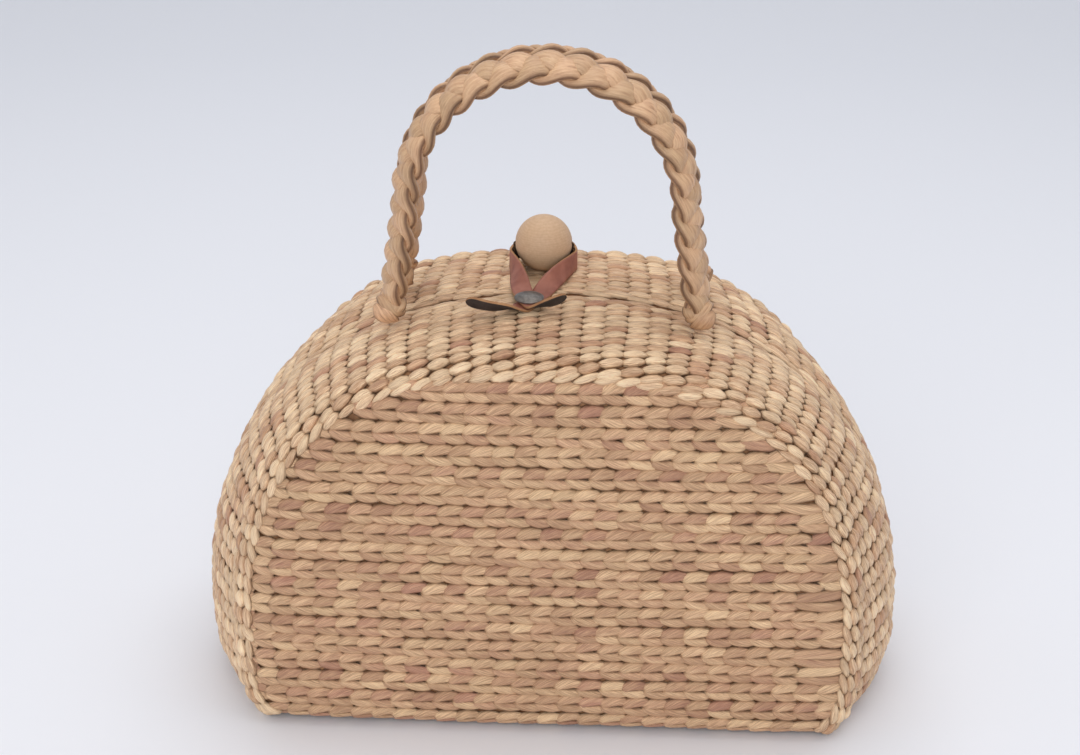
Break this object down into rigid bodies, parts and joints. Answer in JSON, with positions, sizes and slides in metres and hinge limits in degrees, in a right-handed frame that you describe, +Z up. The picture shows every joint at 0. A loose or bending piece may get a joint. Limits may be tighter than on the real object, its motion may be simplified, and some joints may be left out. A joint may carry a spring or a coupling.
{
  "type": "woven dome handbag",
  "caption": "Hinged woven dome handbag with plaited arch handles and a leather loop and wooden ball closure.",
  "frame": {"origin": "under the middle of the base, on the surface that the bag stands on", "axes": "+X to the right, +Y from the front panel to the back panel, +Z up; the mouth lies in Y = 0"},
  "size_m": [0.3024, 0.122, 0.2845],
  "materials": {
    "front_weave": "twined water hyacinth, satin straw",
    "back_weave": "twined water hyacinth, satin straw",
    "front_plait": "three-strand plait of water hyacinth",
    "back_plait": "three-strand plait of water hyacinth",
    "turned_wood": "turned pale wood, unvarnished",
    "waxed_cord": "waxed thread",
    "strap_leather": "red-brown outside, near black inside",
    "rivet_metal": "dull grey",
    "washer_metal": "plain"
  },
  "bodies": {
    "front_half": {"front_tray": "front_weave", "rivet": "rivet_metal", "rivet_washer": "washer_metal"},
    "back_half": {"back_tray": "back_weave", "clasp_ball": "turned_wood", "ball_cord": "waxed_cord"},
    "front_grip": {"front_handle": "front_plait"},
    "back_grip": {"back_handle": "back_plait"},
    "loop": {"closure_strap": "strap_leather"}
  },
  "joints": [
    {"name": "mouth_hinge", "type": "hinge", "parent": "front_half", "child": "back_half", "pos_m": [0, 0.04645, 0], "axis": [-1, 0, 0], "range_deg": [0, 30], "deforming": ["closure_strap"]},
    {"name": "front_handle_swing", "type": "hinge", "parent": "front_half", "child": "front_grip", "pos_m": [0, -0.018, 0.17754], "axis": [1, 0, 0], "range_deg": [0, 60]},
    {"name": "back_handle_swing", "type": "hinge", "parent": "back_half", "child": "back_grip", "pos_m": [0, 0.018, 0.17754], "axis": [-1, 0, 0], "range_deg": [0, 60]},
    {"name": "loop_lift", "type": "hinge", "parent": "front_half", "child": "loop", "pos_m": [0, -0.004, 0.1795], "axis": [1, 0, 0], "range_deg": [0, 90], "deforming": ["closure_strap"]}
  ]
}
